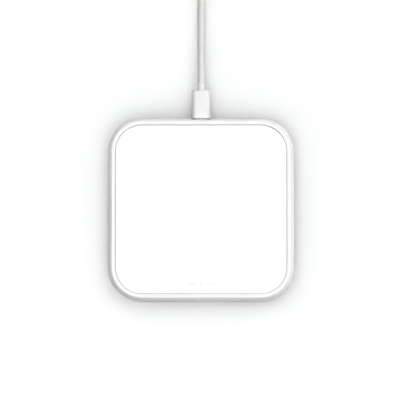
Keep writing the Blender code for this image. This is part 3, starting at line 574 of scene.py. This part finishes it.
def coil_points(step_degrees=5):
    """Turns wound inwards on the table and outwards on top of those, lifted a little by the tie."""
    points = []
    count = round(COIL_TURNS * 360 / step_degrees)
    for i in range(count + 1):
        wound = i * step_degrees
        turn, angle = divmod(wound, 360)
        column, layer, start, end = WINDING[turn]
        if turn + 1 < len(WINDING):
            share = eased((angle - start) / (end - start))
            column += (WINDING[turn + 1][0] - column) * share
            layer += (WINDING[turn + 1][1] - layer) * share
        lift = TIE_LIFT * eased((42 - abs(angle - 180)) / 28)
        sway = COIL_SWAY * math.sin(math.radians(2 * angle + 97 * turn)) * eased(wound / 60)
        radius = COIL_RADIUS + column * STRAND + sway
        height = ON_TABLE + layer * STRAND + lift
        around = math.radians(angle)
        place = Vector((radius * math.cos(around), radius * math.sin(around), height))
        points.append(COIL_CENTRE + place)
    return points


# Millimetres: the run's height at distances from the collar, the tail's at shares of its length.
RUN_HEIGHTS = (
    (-0.5, 4.7),
    (6.0, 4.6),
    (14.0, 3.6),
    (22.0, 2.35),
    (30.0, 1.86),
    (48.0, 1.86),
    (70.0, 1.86),
)
TAIL_HEIGHTS = ((0.25, 5.4), (0.5, 4.75), (0.75, 4.1))


def cable_points():
    """From the USB-C plug down to the table, into the coil, and up to the USB-A plug."""
    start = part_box("cable_run")[0].y
    run = [Vector((0.0, start + along * MM, height * MM)) for along, height in RUN_HEIGHTS]
    run.append(Vector((0.0, COIL_CENTRE.y, ON_TABLE)))
    coil = coil_points()
    low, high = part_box("usb_a_plug_collar")
    end = (low + high) / 2
    end.x = high.x - 0.5 * MM
    tail = [coil[-1]]
    for share, height in TAIL_HEIGHTS:
        point = coil[-1].lerp(end, share)
        point.z = height * MM
        tail.append(point)
    tail.append(end)
    return smooth_route(run, 3.4 * MM)[:-1] + coil + smooth_route(tail, 2.4 * MM)[1:]


def tube_rings(points, radius, sides):
    """Rings square to a line, without twist."""
    tangents = []
    for i in range(len(points)):
        before = points[max(0, i - 1)]
        after = points[min(len(points) - 1, i + 1)]
        tangents.append((after - before).normalized())
    side = tangents[0].cross(Vector((0.0, 0.0, 1.0))).normalized()
    rings = []
    for point, tangent in zip(points, tangents):
        side = (side - tangent * side.dot(tangent)).normalized()
        up = side.cross(tangent)
        ring = []
        for k in range(sides):
            angle = 2 * math.pi * k / sides
            ring.append(point + radius * (math.cos(angle) * side + math.sin(angle) * up))
        rings.append(ring)
    return rings


CABLE = cable_points()
CABLE_LENGTH = sum((b - a).length for a, b in zip(CABLE, CABLE[1:]))
cable_mesh = mesh_from("cable_cord", lambda bm: skin(bm, tube_rings(CABLE, CABLE_RADIUS, 22)))
CABLE_NODES = ("cable_run", "cable_coil", "cable_tail")
cable = add_piece("cable_cord", cable_mesh, JACKET, "cable", CABLE_NODES, 60)


# ---------------------------------------------------------------- casing


def port_notch():
    """The opening for the receptacle, cut right through the casing's side."""
    return blocks("notch", [((-4.8 * MM, 44.0 * MM, 2.85 * MM), (4.8 * MM, 52.0 * MM, 6.6 * MM))])


def plug_recess():
    """The shallow recess in the casing's side that the plug housing faces."""
    outline = round_rectangle(*PLUG_RECESS, 2.6 * MM, 12)
    stations = [(PLUG_RECESS_FRONT, 0.0), (PAD_HALF + MM, 0.0)]
    return capped_bar("plug_recess", outline, stations, along_y(PORT_HEIGHT))


def add_frame_ring():
    """The upper frame: rounded side, flat rim, and the ledge under the cover."""
    side = ellipse_arc(SIDE_ARC_MIDDLE, (SIDE_ARC_RADIUS, SIDE_ARC_RADIUS), 20.4, 47.5, 16)
    corners = [
        (side[-1].x, side[-1].y, 0.0),
        (RIM_OUTER_HALF, RIM_TOP, 0.04 * MM),
        (RIM_INNER_HALF, RIM_TOP, 0.12 * MM),
        (RIM_INNER_HALF, LEDGE_TOP, 0.1 * MM),
        (LEDGE_INNER_HALF, LEDGE_TOP, 0.0),
        (LEDGE_INNER_HALF, LEDGE_BOTTOM, 0.0),
        (LIP_INNER_HALF, LEDGE_BOTTOM, 0.0),
        (LIP_INNER_HALF, LIP_BOTTOM, 0.0),
        (LIP_OUTER_HALF, LIP_BOTTOM, 0.0),
        (LIP_OUTER_HALF, SEAM_BOTTOM, 0.0),
        (side[0].x, side[0].y, 0.0),
    ]
    profile = side[1:-1] + filleted(corners)
    rings = [casing_ring(p.x, p.y) for p in profile]
    mesh = mesh_from("frame_ring", lambda bm: skin(bm, rings, closed=True))
    posts = cylinders(FOUR_SCREWS, 3.4 * MM, FRAME_BOTTOM, LEDGE_TOP - 0.1 * MM, 24)
    mesh = cut(mesh, "UNION", [posts])
    pilots = cylinders(FOUR_SCREWS, 1.15 * MM, FRAME_BOTTOM - MM, 6.7 * MM, 20)
    mesh = cut(mesh, "DIFFERENCE", [pilots, port_notch(), plug_recess()])
    add_piece("pad_frame", mesh, WHITE_SATIN, "pad", ("frame_ring",), 30)


def add_cover():
    """The flat charging surface, with a softly rounded edge."""
    low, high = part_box("top_cover")
    half = high.x - 0.05 * MM
    corners = [
        (0.0, low.z, 0.0),
        (half, low.z, 0.15 * MM),
        (half, high.z, 0.2 * MM),
        (0.0, high.z, 0.0),
    ]
    profile = [p for p in filleted(corners, 6) if p.x > 20 * MM]
    rings = [casing_ring(p.x, p.y) for p in profile]
    mesh = mesh_from("cover", lambda bm: skin(bm, rings))
    add_piece("pad_cover", mesh, WHITE_SOFT, "pad", ("top_cover",), 30)


def add_bottom_shell():
    """The lower tray, its foot groove, its screw wells and the notch for the port."""
    outer = ellipse_arc((45.0 * MM, SHELL_TOP), (4.9 * MM, SHELL_TOP - UNDERSIDE), 0, -90, 24)
    inner = ellipse_arc((45.0 * MM, SHELL_TOP), (3.2 * MM, 4.5 * MM), -90, 0, 10)
    groove = filleted(
        [
            (FOOT_GROOVE_OUTER_HALF, UNDERSIDE, 0.2 * MM),
            (FOOT_GROOVE_OUTER_HALF, FOOT_GROOVE_TOP, 0.0),
            (FOOT_GROOVE_INNER_HALF, FOOT_GROOVE_TOP, 0.0),
            (FOOT_GROOVE_INNER_HALF, UNDERSIDE, 0.2 * MM),
        ]
    )
    rings = [casing_ring(p.x, p.y) for p in inner + outer + groove]
    mesh = mesh_from("bottom_shell", lambda bm: skin(bm, rings))
    mesh = cut(mesh, "UNION", [cylinders(FOUR_SCREWS, 3.6 * MM, 1.5 * MM, 3.4 * MM)])
    wells = cylinders(FOUR_SCREWS, 2.3 * MM, 0.0, 2.1 * MM, 40)
    holes = cylinders(FOUR_SCREWS, 1.2 * MM, 1.0 * MM, 3.8 * MM, 24)
    mesh = cut(mesh, "DIFFERENCE", [wells, holes, port_notch(), plug_recess()])
    add_piece("pad_bottom_shell", mesh, WHITE_MATT_AND_PAINTED_SHADE, "pad", ("bottom_shell",), 30)


def add_foot():
    """The rubber frame that the pad stands on, with a fine rib along its middle."""
    low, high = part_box("rubber_foot")
    outer = high.x
    inner = outer - FOOT_WIDTH
    middle = (outer + inner) / 2
    corners = [
        (outer, high.z, 0.0),
        (inner, high.z, 0.0),
        (inner, low.z, 0.3 * MM),
        (middle - 0.35 * MM, low.z, 0.08 * MM),
        (middle - 0.2 * MM, low.z + 0.18 * MM, 0.08 * MM),
        (middle + 0.2 * MM, low.z + 0.18 * MM, 0.08 * MM),
        (middle + 0.35 * MM, low.z, 0.08 * MM),
        (outer, low.z, 0.3 * MM),
    ]
    rings = [casing_ring(p.x, p.y) for p in filleted(corners)]
    mesh = mesh_from("foot", lambda bm: skin(bm, rings, closed=True))
    add_piece("pad_foot", mesh, FOOT_RUBBER, "pad", ("rubber_foot",), 30)


add_frame_ring()
add_cover()
add_bottom_shell()
add_foot()


# ---------------------------------------------------------------- USB-C port and plug


def add_collar(name, node, start, end, frame_of):
    """A short strain relief with two fine grooves, from the housing to the cable."""
    shape = (
        (0.0, 0.0),
        (0.36, 0.0),
        (0.38, 0.12),
        (0.43, 0.12),
        (0.45, 0.0),
        (0.66, 0.0),
        (0.68, 0.12),
        (0.73, 0.12),
        (0.75, 0.0),
        (0.92, 0.0),
        (0.98, 0.1),
        (1.0, 0.3),
    )
    profile = [(1.9 * MM - drop * MM, start + share * (end - start)) for share, drop in shape]
    mesh = mesh_from(name, lambda bm: skin(bm, turned(profile, 40, frame_of)))
    add_piece(name, mesh, WHITE_PLUG, "cable", (node,), 35)


def add_port():
    """The receptacle's shell, open to the back, and the gold pads on its tongue."""
    low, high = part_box("usb_c_port_shell")
    frame_of = along_y(PORT_HEIGHT)
    outer = slot_outline(*PORT_OUTSIDE)
    bore = slot_outline(*PORT_BORE)
    outside = [(low.y, 0.2 * MM), (low.y + 0.2 * MM, 0.0)]
    outside += [(high.y - 0.1 * MM, 0.0), (high.y, 0.08 * MM)]
    inside = [(high.y, -0.1 * MM), (high.y - 0.2 * MM, 0.0), (low.y + 0.3 * MM, 0.0)]
    rings = bar(outer, outside, frame_of) + bar(bore, inside, frame_of)
    mesh = mesh_from("port_shell", lambda bm: skin(bm, rings))
    add_piece("port_shell", mesh, STEEL_WITH_PAINTED_SHADE, "pad", ("usb_c_port_shell",), 35)
    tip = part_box("usb_c_port_tongue")[1].y
    boxes = []
    for number in range(12):
        x = (number - 5.5) * CONTACT_PITCH
        for side in (-1, 1):
            bottom, top = sorted((PORT_HEIGHT + side * 0.33 * MM, PORT_HEIGHT + side * 0.37 * MM))
            near = (x - 0.13 * MM, tip - 2.2 * MM, bottom)
            boxes.append((near, (x + 0.13 * MM, tip - 0.5 * MM, top)))
    add_piece("port_contacts", blocks("port_contacts", boxes), GOLD, "pad")


def add_plug():
    """The USB-C plug: its moulded housing, its stamped shell and its collar."""
    low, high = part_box("usb_c_plug_housing")
    size = high - low
    frame_of = along_y(PORT_HEIGHT)
    outline = round_rectangle(size.x, size.z, 2.1 * MM, 14)
    mesh = capped_bar("plug_housing", outline, end_round(low.y, high.y, 0.4 * MM), frame_of)
    stations = [(low.y - MM, 0.0), (PLUG_POCKET_END, 0.0)]
    pocket = capped_bar("pocket", slot_outline(*PLUG_POCKET), stations, frame_of)
    mesh = cut(mesh, "DIFFERENCE", [pocket])
    add_piece("plug_housing", mesh, WHITE_PLUG, "cable", ("usb_c_plug_housing",), 30)
    low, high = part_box("usb_c_plug_shell")
    outer = slot_outline(*PLUG_OUTSIDE)
    bore = slot_outline(*PLUG_BORE)
    mesh = sleeve("plug_shell", outer, bore, high.y, low.y, 0.22 * MM, frame_of)
    add_piece("plug_shell", mesh, STEEL_WITH_PAINTED_SHADE, "cable", ("usb_c_plug_shell",), 35)
    low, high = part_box("usb_c_plug_collar")
    add_collar("plug_collar", "usb_c_plug_collar", low.y, high.y, frame_of)


def add_usb_a():
    """The plug at the cable's far end, with windows in its shell and four contacts."""
    low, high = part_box("usb_a_plug_housing")
    size = high - low
    middle = (high + low) / 2

    def frame_of(x, y, along):
        return (along, middle.y + x, middle.z + y)

    outline = round_rectangle(size.y, size.z, 1.9 * MM, 14)
    mesh = capped_bar("usb_a_housing", outline, end_round(low.x, high.x, 0.6 * MM), frame_of)
    mouth = round_rectangle(12.6 * MM, 5.1 * MM, 0.8 * MM, 6)
    pocket = capped_bar("pocket", mouth, [(low.x - MM, 0.0), (low.x + 3.0 * MM, 0.0)], frame_of)
    mesh = cut(mesh, "DIFFERENCE", [pocket])
    add_piece("usb_a_housing", mesh, WHITE_PLUG, "cable", ("usb_a_plug_housing",), 30)
    low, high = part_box("usb_a_plug_shell")
    outer = round_rectangle(12.0 * MM, 4.5 * MM, 0.5 * MM, 6)
    bore = round_rectangle(11.4 * MM, 3.9 * MM, 0.25 * MM, 6)
    mesh = sleeve("usb_a_shell", outer, bore, high.x, low.x, 0.15 * MM, frame_of)
    windows = []
    for side in (-1, 1):
        y = middle.y + side * 3.1 * MM
        near = (low.x + 4.4 * MM, y - 1.15 * MM, middle.z - 4.0 * MM)
        windows.append((near, (low.x + 6.5 * MM, y + 1.15 * MM, middle.z + 4.0 * MM)))
    mesh = cut(mesh, "DIFFERENCE", [blocks("windows", windows)])
    add_piece("usb_a_shell", mesh, STEEL_WITH_PAINTED_SHADE, "cable", ("usb_a_plug_shell",), 35)
    low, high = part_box("usb_a_plug_tongue")
    boxes = []
    for number, length in enumerate((8.4, 7.4, 7.4, 8.4)):
        y = middle.y + (-3.5 + 7.0 * number / 3) * MM
        near = (low.x + 0.8 * MM, y - 0.5 * MM, low.z - 0.05 * MM)
        boxes.append((near, (low.x + length * MM, y + 0.5 * MM, low.z + 0.1 * MM)))
    add_piece("usb_a_contacts", blocks("usb_a_contacts", boxes), GOLD, "cable")
    low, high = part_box("usb_a_plug_collar")
    add_collar("usb_a_collar", "usb_a_plug_collar", low.x, high.x, frame_of)


def add_tie():
    """A hook-and-loop strap round the coil's strands, closed by a round-ended tab on top."""
    low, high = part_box("cable_tie")
    middle = (low + high) / 2
    width = (high.x - low.x) / 2
    height = (high.z - low.z) / 2
    depth = (high.y - low.y) / 2
    outer = round_rectangle(2 * width, 2 * height, 2.3 * MM, 10)
    inner = round_rectangle(2 * width - MM, 2 * height - MM, 1.85 * MM, 10)

    def frame_of(x, y, along):
        return (middle.x + x, middle.y + along, middle.z + y)

    edge = 0.12 * MM
    stations = [(-depth, edge), (-depth + edge, 0.0), (depth - edge, 0.0), (depth, edge)]
    outside = bar(outer, stations, frame_of)
    inside = bar(inner, [(depth, 0.0), (-depth, 0.0)], frame_of)
    centre = middle.x + 1.2 * MM
    tab = []
    for drop, rise in ((0.1, -0.05), (0.0, 0.05), (0.0, 0.37), (0.1, 0.45)):
        length = 10.6 * MM - 2 * drop * MM
        across = 2 * depth - 0.5 * MM - 2 * drop * MM
        outline = round_rectangle(length, across, 2.6 * MM, 10)
        tab.append([(centre + p.x, middle.y + p.y, high.z + rise * MM) for p in outline])

    def build(bm):
        skin(bm, outside + inside, closed=True)
        skin(bm, tab)

    mesh = mesh_from("coil_tie", build)
    add_piece("coil_tie", mesh, STRAP, "cable", ("cable_tie",), 40)


def cross_head(place):
    """A pan-head screw that looks down, with a cross recess."""
    x, y = place
    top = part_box("case_screw_1")[1].z
    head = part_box("case_screw_1")[0].z
    under = head + 1.0 * MM
    profile = [
        (0.2 * MM, head),
        (1.1 * MM, head + 0.02 * MM),
        (1.6 * MM, head + 0.18 * MM),
        (1.85 * MM, head + 0.5 * MM),
        (1.9 * MM, under),
        (0.95 * MM, under),
        (0.95 * MM, top - 0.5 * MM),
        (0.4 * MM, top),
    ]
    rings = turned(profile, 32, lambda a, b, along: (x + a, y + b, along))
    mesh = mesh_from("screw", lambda bm: skin(bm, rings))
    arms = []
    for half_x, half_y in ((1.15 * MM, 0.28 * MM), (0.28 * MM, 1.15 * MM)):
        near = (x - half_x, y - half_y, head - MM)
        arms.append(blocks("arm", [(near, (x + half_x, y + half_y, head + 0.6 * MM))]))
    return cut(mesh, "DIFFERENCE", arms)


def add_case_screws():
    for number in range(1, 5):
        node = f"case_screw_{number}"
        low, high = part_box(node)
        middle = (low + high) / 2
        mesh = cross_head((middle.x, middle.y))
        add_piece(f"screw_{number}", mesh, SCREW_STEEL, "pad", (node,), 35)


# The printed sign: its place on the cover, and the bolt's corners in millimetres.
MARK_PLACE = -40.8 * MM
BOLT = (
    (0.5, 1.95),
    (-1.35, -0.25),
    (-0.25, -0.25),
    (-0.6, -1.95),
    (1.35, 0.35),
    (0.2, 0.35),
    (0.75, 1.95),
)


def add_mark():
    """A small printed charging sign near the front of the cover: a bolt between two short bars."""
    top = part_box("top_cover")[1].z
    shapes = [[(x * MM, MARK_PLACE + y * MM) for x, y in BOLT]]
    for side in (-1, 1):
        outline = round_rectangle(4.2 * MM, 0.8 * MM, 0.4 * MM, 6)
        shapes.append([(side * 4.9 * MM + p.x, MARK_PLACE + p.y) for p in outline])

    def build(bm):
        for shape in shapes:
            skin(bm, [[(x, y, z) for x, y in shape] for z in (top - 0.01 * MM, top + 0.015 * MM)])

    add_piece("charge_mark", mesh_from("charge_mark", build), PRINT_GREY, "pad")


add_port()
add_plug()
add_usb_a()
add_tie()
add_case_screws()
add_mark()


# ---------------------------------------------------------------- pieces that keep their own mesh


def finish_inner():
    """Materials for the parts sealed in the casing and in the plugs."""
    looks = {
        "adhesive": ADHESIVE,
        "black_plastic": BLACK_PLASTIC,
        "ferrite": FERRITE,
        "copper": COPPER,
        "board_green": BOARD_GREEN,
        "ceramic": CERAMIC,
        "plated_steel": STEEL_WITH_PAINTED_SHADE,
        "screw_steel": SCREW_STEEL,
    }
    slots = {part["node"]: part["material_slot"] for part in frame["record"]["subparts"]}
    for name, obj in frame["nodes"].items():
        if not obj.hide_render:
            obj.data.materials.clear()
            obj.data.materials.append(looks[slots[name]])


finish_inner()


# ---------------------------------------------------------------- floor and light


def add_floor():
    def build(bm):
        bmesh.ops.create_grid(bm, x_segments=1, y_segments=1, size=4.0)

    floor = bpy.data.objects.new("floor", mesh_from("floor", build))
    bpy.context.scene.collection.objects.link(floor)
    made, _, shader, _ = new_material("floor_white", Roughness=0.9, Specular_IOR_Level=0.0)
    shader.inputs["Base Color"].default_value = (FLOOR_GREY, FLOOR_GREY, FLOOR_GREY, 1.0)
    floor.data.materials.append(made)
    floor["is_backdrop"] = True


def disc(name, azimuth, elevation, away, size, power, receivers):
    """A round soft light that looks at the pad and falls only on its receivers."""
    around = math.radians(azimuth)
    up = math.radians(elevation)
    data = bpy.data.lights.new(name, "AREA")
    data.shape = "DISK"
    data.size = size
    data.energy = power
    data.cycles.use_multiple_importance_sampling = False
    light = bpy.data.objects.new(name, data)
    bpy.context.scene.collection.objects.link(light)
    flat = away * math.cos(up)
    light.location = (flat * math.cos(around), flat * math.sin(around), away * math.sin(up))
    light.rotation_euler = (-light.location).to_track_quat("-Z", "Y").to_euler()
    light.visible_camera = False
    light.light_linking.receiver_collection = receivers


def add_light():
    """The object is lit from above and the right back; the table has its own, wider light."""
    world = bpy.data.worlds.new("studio")
    world.use_nodes = True
    background = world.node_tree.nodes["Background"]
    background.inputs["Color"].default_value = (1.0, 1.0, 1.0, 1.0)
    background.inputs["Strength"].default_value = WORLD_STRENGTH
    bpy.context.scene.world = world
    product = bpy.data.collections.new("product")
    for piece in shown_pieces():
        product.objects.link(piece)
    table = bpy.data.collections.new("table")
    table.objects.link(bpy.data.objects["floor"])
    for lamp in PAD_LIGHTS:
        disc(*lamp, product)
    for lamp in TABLE_LIGHTS:
        disc(*lamp, table)
    view = bpy.context.scene.view_settings
    view.view_transform = "Standard"
    view.look = "None"


add_floor()
add_light()

tuple(CABLE[0])
